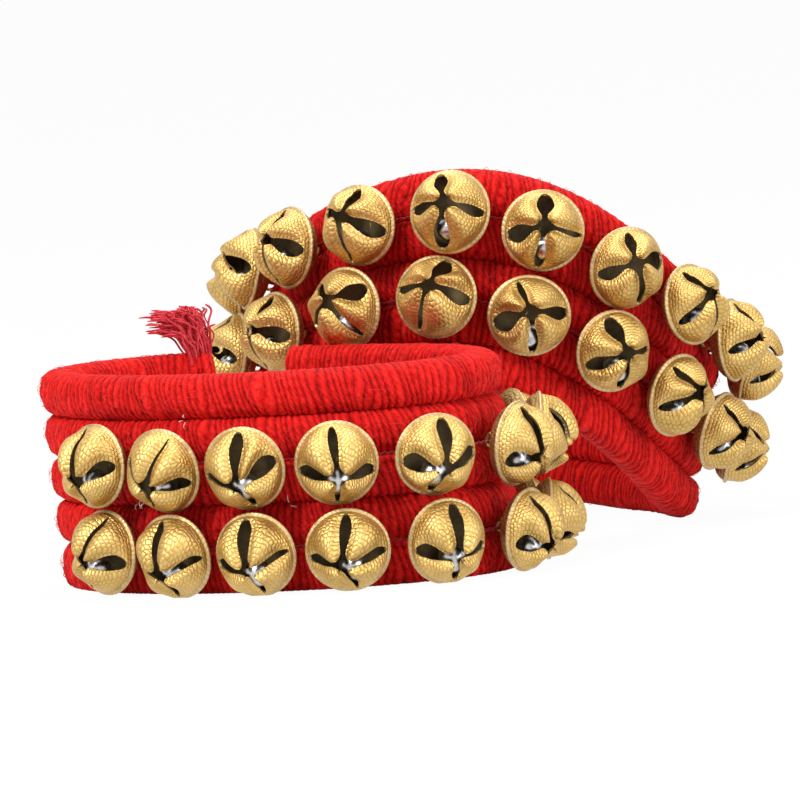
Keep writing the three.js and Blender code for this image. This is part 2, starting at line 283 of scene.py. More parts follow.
class Value:
    """Shader socket that takes part in plain arithmetic."""

    def __init__(self, graph, socket):
        self.graph = graph
        self.socket = socket

    def __add__(self, other):
        return self.graph.math("ADD", self, other)

    def __radd__(self, other):
        return self.graph.math("ADD", other, self)

    def __sub__(self, other):
        return self.graph.math("SUBTRACT", self, other)

    def __rsub__(self, other):
        return self.graph.math("SUBTRACT", other, self)

    def __mul__(self, other):
        return self.graph.math("MULTIPLY", self, other)

    def __rmul__(self, other):
        return self.graph.math("MULTIPLY", other, self)

    def __truediv__(self, other):
        return self.graph.math("DIVIDE", self, other)

    def __rtruediv__(self, other):
        return self.graph.math("DIVIDE", other, self)

    def __pow__(self, other):
        return self.graph.math("POWER", self, other)

    def __rpow__(self, other):
        return self.graph.math("POWER", other, self)

    def __abs__(self):
        return self.graph.math("ABSOLUTE", self)

    def sine(self):
        return self.graph.math("SINE", self)

    def floor(self):
        return self.graph.math("FLOOR", self)

    def fraction(self):
        return self.graph.math("FRACT", self)


class Graph:
    """Node tree of one material or world, built node by node."""

    def __init__(self, tree):
        self.tree = tree
        tree.nodes.clear()

    def node(self, kind, settings=None, inputs=None):
        made = self.tree.nodes.new("ShaderNode" + kind)
        for key, value in (settings or {}).items():
            setattr(made, key, value)
        for key, value in (inputs or {}).items():
            if isinstance(value, Value):
                self.tree.links.new(value.socket, made.inputs[key])
            else:
                made.inputs[key].default_value = value
        return made

    def out(self, made, key=0):
        return Value(self, made.outputs[key])

    def math(self, operation, *terms):
        inputs = dict(enumerate(terms))
        return self.out(self.node("Math", {"operation": operation}, inputs))

    def space(self):
        return self.out(self.node("TexCoord"), "Object")

    def wrap(self):
        """The two places that wound yarn and rows of pebbles follow."""
        parts = self.node("SeparateXYZ", {}, {0: self.out(self.node("UVMap", {"uv_map": "Wrap"}))})
        return self.out(parts, "X"), self.out(parts, "Y")

    def noise(self, vector, scale, detail=3.0, roughness=0.55):
        inputs = {"Vector": vector, "Scale": scale, "Detail": detail, "Roughness": roughness}
        return self.out(self.node("TexNoise", {}, inputs))

    def ramp(self, factor, stops):
        made = self.node("ValToRGB", {}, {"Fac": factor})
        elements = made.color_ramp.elements
        while len(elements) < len(stops):
            elements.new(0.5)
        for element, (place, colour) in zip(elements, stops):
            element.position = place
            element.color = (*colour, 1.0)
        return self.out(made)

    def span(self, factor, low, high):
        inputs = {"Value": factor, "To Min": low, "To Max": high}
        return self.out(self.node("MapRange", {}, inputs), "Result")

    def bump(self, height, strength, distance, normal=None):
        inputs = {"Height": height, "Strength": strength, "Distance": distance}
        if normal is not None:
            inputs["Normal"] = normal
        return self.out(self.node("Bump", {}, inputs))


def new_material(name):
    material = bpy.data.materials.new(name)
    material.use_nodes = True
    return material, Graph(material.node_tree)


def surface(graph, inputs):
    shader = graph.node("BsdfPrincipled", {}, inputs)
    graph.node("OutputMaterial", {}, {"Surface": graph.out(shader)})


def yarn_material(name, dark, middle, bright):
    """Wound yarn: one tone for each turn, painted shade between turns and painted light on their
    crests, twisted plies and loose fibres.
    """
    material, g = new_material(name)
    turn, along = g.wrap()
    tone = g.out(g.node("TexWhiteNoise", {"noise_dimensions": "1D"}, {"W": turn.floor()}), "Value")
    crest = 1.0 - 2.0 * abs(turn.fraction() - 0.5)
    stretched = g.out(g.node("CombineXYZ", {}, {"X": turn * 7.0, "Y": along * 1.3, "Z": tone * 9.0}))
    fibre = g.noise(stretched, 1.0, 4.0, 0.65)
    drift = g.noise(stretched, 0.25, 1.0)
    plies = ((along * 0.8 + turn * 1.5 + drift * 0.8) * (2 * math.pi)).sine() * 0.5 + 0.5
    knobs = g.noise(g.space(), 640.0, 2.0)
    # The crest term paints shade into the valleys between turns and light onto the crests
    mix = 0.34 * crest ** 0.7 + 0.12 * tone + 0.24 * fibre + 0.42 * knobs + 0.06 * plies
    colour = g.ramp(mix, [(0.33, dark), (0.59, middle), (0.84, bright)])
    height = 0.5 * fibre + 0.25 * plies + 1.6 * knobs
    rough = g.span(fibre, 0.6, 0.85)
    surface(g, {
        "Base Color": colour,
        "Roughness": rough,
        "Normal": g.bump(height, 1.0, 0.0005),
        "Specular IOR Level": 0.16,
        "Sheen Weight": 0.05,
        "Sheen Roughness": 0.5,
        "Sheen Tint": (1.0, 0.25, 0.2, 1.0),
    })
    return material


def thread_material(name, dark, bright, scale=900.0):
    """Loose thread and cord: tone and bump follow fine noise."""
    material, g = new_material(name)
    space = g.space()
    tone = g.noise(space, scale, 3.0)
    surface(g, {
        "Base Color": g.ramp(tone, [(0.3, dark), (0.7, bright)]),
        "Roughness": g.span(tone, 0.6, 0.85),
        "Normal": g.bump(g.noise(space, scale * 3, 2.0), 0.4, 0.00008),
        "Specular IOR Level": 0.25,
        "Sheen Weight": 0.08,
    })
    return material


def brass_material(name, low, middle, high, relief, rough):
    """Stamped brass: rows of round pebbles along each petal, with painted shade between them, and
    darker in patches.
    """
    material, g = new_material(name)
    space = g.space()
    across, up = g.wrap()
    stray = g.noise(space, 520.0, 1.0) - 0.5
    lean = g.noise(space, 330.0, 1.0) - 0.5
    row = (up + 1.2 * stray) / 0.8
    cell = (across + 1.3 * lean) / 1.02 + 0.5 * row.floor()
    side = 2.0 * cell.fraction() - 1.0
    rise = 2.0 * row.fraction() - 1.0
    pebble = ((1.0 - side * side) * (1.0 - rise * rise)) ** 0.55
    fine = g.noise(space, 2600.0, 2.0)
    patch = g.noise(space, 210.0, 3.0)
    # The pebble term paints shade between the pebbles and light on their tops; patch and fine noise
    # vary the brass at random
    tone = 0.26 * pebble + 0.56 * patch + 0.14 * fine + 0.04
    pebbles = g.bump(pebble, 0.75, relief)
    surface(g, {
        "Base Color": g.ramp(tone, [(0.26, low), (0.48, middle), (0.74, high)]),
        "Metallic": 1.0,
        "Roughness": g.span(patch + 0.3 * fine, rough, rough + 0.16),
        "Normal": g.bump(fine, 0.15, 0.00006, pebbles),
    })
    return material


def shaded_inside_material(name):
    """Inside of the bells: unpolished brass, painted dark as the shade in the hollow."""
    material, g = new_material(name)
    space = g.space()
    patch = g.noise(space, 320.0, 3.0)
    surface(g, {
        # Near-black brown base colours: painted shade inside the hollow bell
        "Base Color": g.ramp(patch, [(0.3, (0.075, 0.048, 0.020)), (0.7, (0.22, 0.150, 0.062))]),
        "Metallic": 0.4,
        "Roughness": g.span(patch, 0.45, 0.7),
        "Normal": g.bump(g.noise(space, 1500.0, 2.0), 0.3, 0.0001),
    })
    return material


def steel_material(name):
    """Pellets: bright steel with scuffs."""
    material, g = new_material(name)
    scuff = g.noise(g.space(), 900.0, 4.0)
    surface(g, {
        "Base Color": g.ramp(scuff, [(0.3, (0.34, 0.34, 0.35)), (0.6, (0.68, 0.68, 0.69))]),
        "Metallic": 1.0,
        "Roughness": g.span(scuff, 0.16, 0.42),
        "Normal": g.bump(scuff, 0.15, 0.00008),
    })
    return material


def shared(name, maker, *values):
    """Material of that name, made when it is first asked for."""
    return bpy.data.materials.get(name) or maker(name, *values)


def red_yarn(settings):
    return shared("red_yarn", yarn_material, settings.shade, settings.colour, settings.shine)


def frayed_yarn():
    return shared("frayed_yarn", thread_material, (0.55, 0.013, 0.030), (0.84, 0.08, 0.10))


def red_fuzz():
    return shared("red_fuzz", thread_material, (0.55, 0.006, 0.010), (0.85, 0.05, 0.045))


def lacing_cord():
    return shared("lacing_cord", thread_material, (0.16, 0.002, 0.004), (0.45, 0.008, 0.012), 600.0)


def pale_thread():
    return shared("pale_thread", thread_material, (0.60, 0.36, 0.34), (0.86, 0.66, 0.63), 700.0)


def pebbled_brass(settings):
    tones = settings.shade, settings.colour, settings.shine
    return shared("pebbled_brass", brass_material, *tones, 0.00016, 0.38)


def rim_brass():
    tones = (0.34, 0.225, 0.095), (0.55, 0.400, 0.190), (0.72, 0.560, 0.310)
    return shared("rim_brass", brass_material, *tones, 0.0001, 0.44)


def shaded_back_brass():
    # Far darker tones than the front: painted shade on the back dome, which faces the band
    tones = (0.14, 0.085, 0.030), (0.32, 0.215, 0.080), (0.50, 0.360, 0.155)
    return shared("shaded_back_brass", brass_material, *tones, 0.0002, 0.46)


def add_object(name, data):
    made = bpy.data.objects.new(name, data)
    bpy.context.scene.collection.objects.link(made)
    return made


def mesh_object(name, points, faces, materials, wrap=None):
    """Smooth mesh from points in metres; wrap holds the places that yarn and pebbles follow."""
    mesh = bpy.data.meshes.new(name)
    mesh.from_pydata(points.tolist(), [], faces)
    for material in materials:
        mesh.materials.append(material)
    if wrap is not None:
        index = np.zeros(len(mesh.loops), np.int32)
        mesh.loops.foreach_get("vertex_index", index)
        layer = mesh.uv_layers.new(name="Wrap")
        layer.data.foreach_set("uv", wrap[index].astype(np.float32).ravel())
    mesh.shade_smooth()
    return add_object(name, mesh)


def grid_faces(rows, columns):
    """Quads of a grid of points stored row by row."""
    first = np.arange((rows - 1) * columns).reshape(rows - 1, columns)[:, :-1].ravel()
    return np.stack([first, first + 1, first + columns + 1, first + columns], axis=1).tolist()


def capped_tube(points, wrap):
    """Rows of ring points, the seam column doubled, closed at both ends."""
    rows, columns = points.shape[:2]
    flat = points.reshape(-1, 3)
    faces = grid_faces(rows, columns)
    ends = np.stack([points[0, :-1].mean(0), points[-1, :-1].mean(0)])
    first, last = len(flat), len(flat) + 1
    base = (rows - 1) * columns
    for i in range(columns - 1):
        faces.append([first, i + 1, i])
        faces.append([last, base + i, base + i + 1])
    ends_wrap = np.stack([wrap[0, 0], wrap[-1, 0]])
    return np.vstack([flat, ends]), faces, np.vstack([wrap.reshape(-1, 2), ends_wrap])


def waves(rng, count, shortest, longest):
    """Sum of a few random waves as a function of length and angle."""
    lengths = rng.uniform(shortest, longest, count)
    turns = rng.integers(0, 3, count)
    phases = rng.uniform(0, 2 * math.pi, count)

    def value(length, angle):
        total = 0
        for one, turn, phase in zip(lengths, turns, phases):
            total = total + np.sin(2 * math.pi * length / one + turn * angle + phase)
        return total / math.sqrt(count)

    return value


def curve_object(name, runs, radius, material):
    """Thin threads as one curve object; each run is a list of points with an end taper."""
    data = bpy.data.curves.new(name, "CURVE")
    data.dimensions = "3D"
    data.bevel_depth = radius * MM
    data.bevel_resolution = 0
    data.resolution_u = 2
    data.use_fill_caps = True
    for run in runs:
        spline = data.splines.new("POLY")
        spline.points.add(len(run) - 1)
        for i, (point, place) in enumerate(zip(spline.points, run)):
            point.co = (*place, 1.0)
            point.radius = 1.0 if i < len(run) - 1 else 0.4
    data.materials.append(material)
    return add_object(name, data)


def length_property(name, description, default):
    return FloatProperty(name=name, description=description, default=default, unit="LENGTH")


def colour_property(name, description, default):
    return FloatVectorProperty(name=name, description=description, default=default, subtype="COLOR")


def angle_property(name, description, default):
    return FloatProperty(name=name, description=description, default=default, subtype="ANGLE")


class GhungrooRopeSettings(PropertyGroup):
    """Sizes of the wound ropes and colours of their yarn."""

    diameter: length_property("Diameter", "Rope across the crests of its yarn", 0.00838)
    yarn_width: length_property("Yarn width", "Spacing of the wound turns", 0.00132)
    crest: length_property("Crest", "Depth of the valleys between turns", 0.00062)
    fullness: FloatProperty(
        name="Fullness", description="How square the ropes are; 2 is round", default=2.5, min=2.0)
    # Shade and shine are painted light: shade between the turns, highlight on their crests
    shade: colour_property("Shade", "Yarn between its turns", (0.20, 0.0012, 0.002))
    colour: colour_property("Colour", "Yarn at large", (0.66, 0.0040, 0.004))
    shine: colour_property("Shine", "Crests of the yarn", (0.90, 0.022, 0.015))
    around: IntProperty(name="Around", description="Points around a rope", default=40, min=12)
    per_turn: IntProperty(name="Per turn", description="Rows for each turn of yarn", default=5, min=3)
    fibres: IntProperty(name="Fibres", description="Loose fibres on each band", default=1500, min=0)


class GhungrooBellSettings(PropertyGroup):
    """Sizes of a bell, its slots and its pellet, and colours of its brass."""

    diameter: length_property("Diameter", "Dome at its rim", 0.0156)
    lip: length_property("Lip", "Rim beyond the dome", 0.00052)
    front_depth: length_property("Front", "Depth of the slotted dome", 0.0074)
    back_depth: length_property("Back", "Depth of the closed dome", 0.004)
    wall: length_property("Wall", "Sheet thickness", 0.0005)
    slot: length_property("Slot", "Usual half width of a slot", 0.0016)
    pellet: length_property("Pellet", "Diameter of the loose ball", 0.0056)
    # Shade is the darkest brass: painted shade between the pebbles, and the tone of dark patches
    shade: colour_property("Shade", "Brass between its pebbles", (0.29, 0.170, 0.050))
    colour: colour_property("Colour", "Brass at large", (0.60, 0.390, 0.118))
    shine: colour_property("Shine", "Brightest brass", (0.80, 0.545, 0.205))
    across: IntProperty(name="Across", description="Columns of a petal", default=16, min=6)


class GhungrooStageSettings(PropertyGroup):
    """Place and reach of the camera."""

    distance: length_property("Distance", "Camera to target", 2.5)
    elevation: angle_property("Elevation", "Camera above the horizon", math.radians(4))
    roll: angle_property("Roll", "Camera rolled about its axis", math.radians(4))
    scale: FloatProperty(
        name="Scale", description="Picture widths per metre at the target", default=5060.0 / 800)
    target: FloatVectorProperty(
        name="Target", description="Place at the picture's centre", size=3, subtype="TRANSLATION",
        default=tuple((STRIPS[0].offset + np.array([24.4, 0.0, 12.05])) * MM))


class GHUNGROO_OT_ropes(Operator):
    """Winds the ten ropes of the two bands"""

    bl_idname = "ghungroo.ropes"
    bl_label = "Ropes"

    def execute(self, context):
        settings = context.scene.ghungroo_ropes
        for strip in STRIPS:
            for index in range(ROPE_COUNT):
                self.wind(settings, strip, index)
        return {"FINISHED"}

    def wind(self, settings, strip, index):
        """One rope: rings along it, pressed to their section, with the ridges of the turns."""
        name = f"{strip.prefix}_rope_{index + 1}"
        rng = np.random.default_rng(100 * (strip.side + 2) + index)
        width = settings.yarn_width / MM
        turns = (strip.end - strip.start) / width
        length = np.linspace(strip.start, strip.end, int(turns * settings.per_turn))[:, None]
        angle = np.linspace(math.pi, 3 * math.pi, settings.around + 1)[None, :]
        wander = waves(rng, 5, 3.0, 17.0)
        swell = waves(rng, 4, 9.0, 40.0)
        clump = waves(rng, 6, 2.2, 6.0)
        slip = waves(rng, 4, 5.0, 24.0)
        skew = 0.3 + 0.3 * np.sin(length / 19 + index)
        phase = length / width + skew * np.sin(angle - 0.4) + 0.4 * wander(length, angle)
        ridge = np.sqrt(np.abs(np.sin(math.pi * phase)))
        lift = 0.6 + 0.4 * np.sin(2.4 * np.floor(phase) + 1.7 * slip(length, angle))
        crest = settings.crest / MM * (1 - 0.75 * np.abs(np.sin(angle)) ** 8)
        knobs = 0.16 * np.sin(10 * angle + 2.4 * np.floor(phase) + 2.0 * slip(length, angle))
        relief = crest * (ridge * (0.75 + 0.37 * lift + knobs) - 1.12)
        uneven = 0.07 * swell(length, angle) + 0.12 * clump(length, 2 * angle)
        relief = relief + uneven * np.abs(np.cos(angle))
        radius = self.section(settings, strip, index, angle) + relief
        radius = radius - self.hollows(strip, index, length, angle)
        level = strip.level(index) + radius * np.sin(angle)
        points = strip.place(length, radius * np.cos(angle), level)
        points[..., 2] = np.maximum(points[..., 2], YARN_FLOOR)
        wrap = np.stack([phase, angle * (ROPE_RADIUS / width) + 0 * length], axis=-1)
        points, faces, wrap = capped_tube(points, wrap)
        rope = mesh_object(name + "_yarn", points, faces, [red_yarn(settings)], wrap)
        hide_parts(name)
        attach(rope, strip.body)

    def hollows(self, strip, index, length, angle):
        """Dents that the eyes of the bells press into the ropes beside their groove."""
        depth = np.zeros(np.broadcast(length, angle).shape)
        for row in ("low", "high"):
            toward = strip.groove(row) - strip.level(index)
            if abs(toward) < 0.75 * ROPE_PITCH:
                aim = 2 * math.pi + math.atan2(toward, EYE_REACH)
                facing = np.exp(-((angle - aim) / DENT_ANGLE) ** 2)
                for column in range(BELL_COLUMNS):
                    depth += facing * np.exp(-((length - strip.column(column)) / DENT_LENGTH) ** 2)
        return EYE_DENT * depth

    def section(self, settings, strip, index, angle):
        """Radius of a rope pressed to its neighbours; the edge rope is drawn to the next one."""
        width = settings.diameter / MM / 2
        taller = np.where(np.sin(angle) * strip.side > 0, EDGE_SPREAD if index == 0 else 0.0, 0.0)
        height = ROPE_PITCH / 2 + ROPE_PRESS + taller
        power = settings.fullness
        across = np.abs(np.cos(angle) / width) ** power
        return (across + np.abs(np.sin(angle) / height) ** power) ** (-1 / power)


class GHUNGROO_OT_lacings(Operator):
    """Lays the twisted cords that hold the bells"""

    bl_idname = "ghungroo.lacings"
    bl_label = "Lacings"

    def execute(self, context):
        for strip in STRIPS:
            for row in ("low", "high"):
                self.lay(strip, row)
        return {"FINISHED"}

    def lay(self, strip, row):
        """Two plies twisted about each other along one groove."""
        name = f"{strip.prefix}_lacing_{row}"
        first, last = strip.column(0) - LACING_END, strip.column(BELL_COLUMNS - 1) + LACING_END
        length = np.linspace(first, last, 600)[:, None]
        angle = np.linspace(0, 2 * math.pi, 7)[None, :]
        rows = []
        faces = []
        for ply in range(2):
            twist = 2 * math.pi * length / PLY_TWIST + math.pi * ply
            out = EYE_REACH + PLY_OFFSET * np.cos(twist) + PLY_RADIUS * np.cos(angle)
            level = strip.groove(row) + PLY_OFFSET * np.sin(twist) + PLY_RADIUS * np.sin(angle)
            points = strip.place(length, out, level)
            wrap = np.zeros(points.shape[:2] + (2,))
            points, ply_faces, wrap = capped_tube(points, wrap)
            shift = sum(len(one) for one in rows)
            rows.append(points)
            faces += [[shift + i for i in face] for face in ply_faces]
        cord = mesh_object(name + "_cord", np.vstack(rows), faces, [lacing_cord()])
        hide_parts(name)
        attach(cord, strip.body)


class GHUNGROO_OT_ties(Operator):
    """Binds the four strip ends and frays their yarn tails"""

    bl_idname = "ghungroo.ties"
    bl_label = "Ties"

    def execute(self, context):
        settings = context.scene.ghungroo_ropes
        for strip in STRIPS:
            for side, length, direction in (("left", strip.start, -1), ("right", strip.end, 1)):
                standing = strip.prefix == "upright" and side == "left"
                self.bind(settings, strip, side, length, direction, standing)
        return {"FINISHED"}

    def bind(self, settings, strip, side, length, direction, standing):
        """Flat band of turns round the ends of the five ropes, with its loose strands."""
        name = f"{strip.prefix}_tie_{side}"
        rng = np.random.default_rng(len(name) + (7 if standing else 0))
        out, along, up = strip.directions(length)
        forward = along * direction
        origin = strip.place(length, 0.0, 0.0) + forward * 0.3 * MM
        lean = np.array([-strip.lean, 0.0, 0.0])

        def local(across, height, ahead):
            across, height, ahead = np.broadcast_arrays(across, height, ahead)
            aside = across[..., None] * out + height[..., None] * (up + lean)
            return origin + (aside + ahead[..., None] * forward) * MM

        # Section of the binding: two straight runs joined by two half rounds
        width = settings.yarn_width / MM
        straight = BAND_HEIGHT - 2 * ROPE_RADIUS
        bow = math.pi * ROPE_RADIUS
        marks = np.cumsum([0, straight, bow, straight, bow])
        around = np.linspace(0, marks[-1], 121)[None, :]
        turn = np.interp(around, marks, [0, 0, math.pi, math.pi, 2 * math.pi])
        middle = np.interp(around, marks, np.array([-0.5, 0.5, 0.5, -0.5, -0.5]) * straight)
        lap = 2 * math.pi * around / marks[-1]
        ahead = np.linspace(-BINDING_OVERLAP, BINDING_LENGTH, 34)[:, None]
        wander = waves(rng, 4, 2.0, 8.0)
        phase = ahead / width + 0.25 * np.sin(lap) + 0.2 * wander(ahead, lap)
        ends = np.clip(np.minimum(ahead + BINDING_OVERLAP, BINDING_LENGTH - ahead) / 1.1, 0, 1)
        radius = ROPE_RADIUS + 0.1 + 0.45 * np.sqrt(np.abs(np.sin(math.pi * phase)))
        radius = radius + 0.12 * np.sin(lap * 21 + 2.4 * np.floor(phase))
        radius = radius - 1.1 * (1 - np.sqrt(1 - (1 - ends) ** 2))
        points = local(radius * np.cos(turn), middle + radius * np.sin(turn), ahead + 0 * turn)
        wrap = np.stack([phase, around / width + 0 * ahead], axis=-1)
        if direction > 0:
            points, wrap = points[:, ::-1], wrap[:, ::-1]
        points[..., 2] = np.maximum(points[..., 2], YARN_FLOOR)
        points, faces, wrap = capped_tube(points, wrap)
        binding = mesh_object(name + "_binding", points, faces, [red_yarn(settings)], wrap)
        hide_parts(name)
        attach(binding, strip.body)
        tail = self.fray(name, rng, local, standing)
        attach(tail, strip.body)

    def fray(self, name, rng, local, standing):
        """Loose strands: a standing tuft that leans back over the strip, or a short stub."""
        top = BAND_HEIGHT / 2
        runs = []
        for _ in range(STANDING_STRANDS if standing else STUB_STRANDS):
            steps = np.linspace(0, 1, 14)
            reach = rng.uniform(0.65, 1.15)
            swing = rng.normal(0, 1, 3)
            curl = rng.uniform(0, 2 * math.pi, 3)
            wave = 0.5 * np.sin(steps * rng.uniform(7, 13) + curl[0]) * steps
            if standing:
                sweep = 0.5 + 8.5 * rng.uniform(0, 1) ** 1.7
                across = rng.normal(0, 1.2) + swing[0] * 1.2 * steps + wave
                height = top - 2 + (TAIL_RISE + 2) * reach * np.sin(1.5 * steps)
                height = height - 0.12 * sweep * steps ** 3
                root = float(np.clip(2.3 + rng.normal(0, 1.4), 0.3, BINDING_LENGTH - 0.6))
                ahead = root + swing[1] * 1.3 * steps
                ahead = ahead - sweep * steps ** 1.9 + 0.7 * np.sin(steps * 12 + curl[1]) * steps
            else:
                across = rng.normal(0, 0.8) + swing[0] * 0.5 * steps + wave * 0.5
                height = rng.normal(0, 0.8) - 2 * steps ** 2 + swing[1] * 0.4 * steps
                ahead = 4.3 + 7.2 * reach * steps * 0.85 + 0 * steps
            runs.append(local(across, height, ahead))
        return curve_object(name + "_strands", runs, STRAND_RADIUS, frayed_yarn())


class GHUNGROO_OT_bells(Operator):
    """Stamps the forty slotted bells and drops a pellet into each"""

    bl_idname = "ghungroo.bells"
    bl_label = "Bells"

    def execute(self, context):
        settings = context.scene.ghungroo_bells
        # Inside brass, painted dark as the shade in the hollow
        inside = shared("shaded_inside_brass", shaded_inside_material)
        # Slots: pebbled front, rim, and back with painted shade, each followed by the inside brass
        # painted as shade
        self.brass = [pebbled_brass(settings), inside, rim_brass(), inside, shaded_back_brass(), inside]
        self.steel = shared("pellet_steel", steel_material)
        number = 0
        for strip in STRIPS:
            for row in ("low", "high"):
                for column in range(BELL_COLUMNS):
                    number += 1
                    self.stamp(settings, strip, row, column, np.random.default_rng(number))
        return {"FINISHED"}

    def stamp(self, settings, strip, row, column, rng):
        """One bell at its joint, with slots and petals of its own."""
        kind = f"{strip.prefix}_bell_{row}"
        name = f"{kind}_{column + 1:02d}"
        joint = bell_joint(name)
        length = strip.column(column)
        along = Vector(strip.directions(length)[1])
        axis = Vector(joint["axis"]).normalized()
        along = (along - axis * along.dot(axis)).normalized()
        place = Matrix((along, axis.cross(along), axis)).transposed().to_4x4()
        place.translation = Vector(joint["pos_m"])
        widths = rng.permutation(settings.slot / MM * rng.uniform(*SLOT_SHARES))
        slide_up = rng.uniform(*SLIDE_UP[strip.prefix])
        form = SimpleNamespace(
            slots=SLOT_WIDTHS[kind].get(column + 1, tuple(widths)),
            bends=PETAL_BENDS.get(name, tuple(rng.uniform(-0.5, 0.2, 4))),
            starts=np.arange(4) * math.pi / 2 + rng.uniform(-0.2, 0.2, 4),
            gape=rng.uniform(0.3, 0.65),
            phases=rng.uniform(0, 2 * math.pi, 2),
            turn=math.radians(TURNS[kind][column]),
            drift=np.radians([rng.uniform(*SLIDE_ALONG), slide_up]),
            squash=rng.uniform(-0.025, 0.025),
        )
        bell = self.shell(settings, name, form)
        self.add_eye(bell, strip.slope(length))
        bell.data.transform(place)
        bell.data.set_sharp_from_angle(angle=math.radians(50))
        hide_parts(name)
        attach(bell, name)
        self.add_pellet(settings, name, place, rng)

    def shell(self, settings, name, form):
        """Sheet surface from the back pole over the rim to the petals, then given its thickness."""
        dome = settings.diameter / MM / 2
        lip = dome + settings.lip / MM
        front, back = settings.front_depth / MM, settings.back_depth / MM
        profile = []
        for t in np.radians(BACK_STEPS):
            profile.append((dome * math.cos(t), EQUATOR - 0.3 - (back - 0.3) * math.sin(t), None))
        rim = ((lip - 0.06, -0.28), (lip, -0.16), (lip, 0.14), (lip - 0.1, 0.26))
        profile += [(radius, EQUATOR + height, None) for radius, height in rim]
        for t in map(math.radians, FRONT_STEPS):
            height = EQUATOR + 0.25 + (front - 0.25) * math.sin(t) ** 1.08
            profile.append((dome * math.cos(t) ** 1.06, height, t))
        columns = settings.across + 1
        patches = []
        faces = []
        for petal in range(4):
            shift = petal * len(profile) * columns
            patches += [self.petal_row(*place, petal, form, columns) for place in profile]
            faces += [[shift + i for i in face] for face in grid_faces(len(profile), columns)]
        points = np.vstack(patches)
        bell = mesh_object(name + "_brass", points[:, :3] * MM, faces, self.brass, points[:, 3:])
        row = np.arange(len(faces)) % ((len(profile) - 1) * settings.across) // settings.across
        front_from = len(BACK_STEPS) + len(rim)
        # Back rows take the back brass with its painted shade, rim rows the rim brass, the rest the
        # pebbled front
        slot_by_row = np.where(row < len(BACK_STEPS) - 1, 4, np.where(row < front_from, 2, 0))
        bell.data.polygons.foreach_set("material_index", slot_by_row)
        sheet = bmesh.new()
        sheet.from_mesh(bell.data)
        bmesh.ops.remove_doubles(sheet, verts=sheet.verts, dist=1e-6)
        sheet.to_mesh(bell.data)
        sheet.free()
        thick = bell.modifiers.new("Wall", "SOLIDIFY")
        thick.thickness = settings.wall
        thick.offset = -1.0
        thick.material_offset = 1
        thick.material_offset_rim = 2
        ready = bell.evaluated_get(bpy.context.evaluated_depsgraph_get())
        solid = bpy.data.meshes.new_from_object(ready)
        bell.modifiers.clear()
        bell.data = solid
        return bell

    def petal_row(self, radius, height, t, petal, form, columns):
        """One row across a petal of the bell, cut back at its two slots."""
        share = np.linspace(0, 1, columns)
        following = (petal + 1) % 4
        left, right = (
            self.slot_angle(radius, t, form.slots[k], form.gape) for k in (petal, following))
        first = form.starts[petal]
        wide = (form.starts[following] - first) % (2 * math.pi)
        span = (wide - left - right) * self.tip_share(radius, t)
        angle = first + (wide + left - right) / 2 + (share - 0.5) * span
        out = np.zeros(columns)
        if t is not None:
            nearest = np.minimum(share, 1 - share) * span * radius
            open_part = min(1.0, max(0.0, (t - SLOT_START) / math.radians(14)))
            out -= EDGE_CURL * open_part * np.exp(-(nearest / CURL_WIDTH) ** 2)
            out += PETAL_CROWN * open_part * (np.sin(math.pi * share) ** 2 - 0.45)
            out += form.bends[petal] * max(0.0, (math.sin(t) - 0.45) / 0.55) ** 2
            out += 0.07 * np.sin(3 * angle + form.phases[0] + 2 * t)
            out += 0.05 * np.sin(5 * angle + form.phases[1] - 3 * t)
        tilt = t or 0.0
        turned = angle + form.turn
        reach = (radius + out * math.cos(tilt)) * (1 + form.squash * np.cos(2 * turned))
        front = height + out * math.sin(tilt)
        row = np.stack([reach * np.cos(turned), reach * np.sin(turned), front], axis=-1)
        row = self.drifted(row, form.drift, tilt)
        across = (share - 0.5) * span * radius
        climb = height if t is None else EQUATOR + DOME_ARC * t
        return np.column_stack([row, across, np.full(columns, climb)])

    def drifted(self, row, drift, tilt):
        """Slides the petals over the dome so that their tips meet beside its pole; the rim stays."""
        part = min(1.0, max(0.0, (tilt - SLOT_START) / math.radians(70)))
        part = part * part * (3 - 2 * part)
        size = float(np.hypot(*drift))
        turn = Matrix.Rotation(size * part, 3, Vector((-drift[1], drift[0], 0.0)).normalized())
        centre = np.array([0.0, 0.0, EQUATOR])
        return (row - centre) @ np.array(turn).T + centre

    def slot_angle(self, radius, t, width, gape):
        """Half angle of a slot: a round end near the rim, widest just inside it, narrow at the pole."""
        if t is None or t <= SLOT_START:
            return 0.0
        if radius > SLOT_WIDEST:
            beyond = (radius - SLOT_WIDEST) / (SLOT_END - SLOT_WIDEST)
            half = width * math.sqrt(max(0.0, 1 - beyond ** 2))
        else:
            rise = max(0.0, (radius / SLOT_WIDEST - 0.25) / 0.75)
            half = gape + (width - gape) * rise * rise * (3 - 2 * rise)
        return min(math.asin(min(1.0, half / radius)), math.radians(38))

    def tip_share(self, radius, t):
        """Part of its width that a petal keeps: all of it down to the tip, which is round."""
        if t is None:
            return 1.0
        gone = min(1.0, max(0.0, (TIP_BASE - radius) / (TIP_BASE - TIP_END)))
        return math.sqrt(1 - 0.96 * gone * gone)

    def add_eye(self, bell, slope):
        """Wire loop at the back pole that the cord runs through."""
        ring = bmesh.new()
        ring.from_mesh(bell.data)
        steps, sides = 18, 8
        made = []
        for i in range(steps):
            u = 2 * math.pi * i / steps
            for k in range(sides):
                v = 2 * math.pi * k / sides
                reach = EYE_RADIUS + EYE_WIRE * math.cos(v)
                spot = Vector((EYE_WIRE * math.sin(v), reach * math.cos(u), reach * math.sin(u))) * MM
                made.append(ring.verts.new(Matrix.Rotation(slope, 3, "Z") @ spot))
        for i in range(steps):
            for k in range(sides):
                a, b = i * sides, (i + 1) % steps * sides
                corner = (a + k, a + (k + 1) % sides, b + (k + 1) % sides, b + k)
                ring.faces.new([made[j] for j in corner]).smooth = True
        ring.normal_update()
        ring.to_mesh(bell.data)
        ring.free()

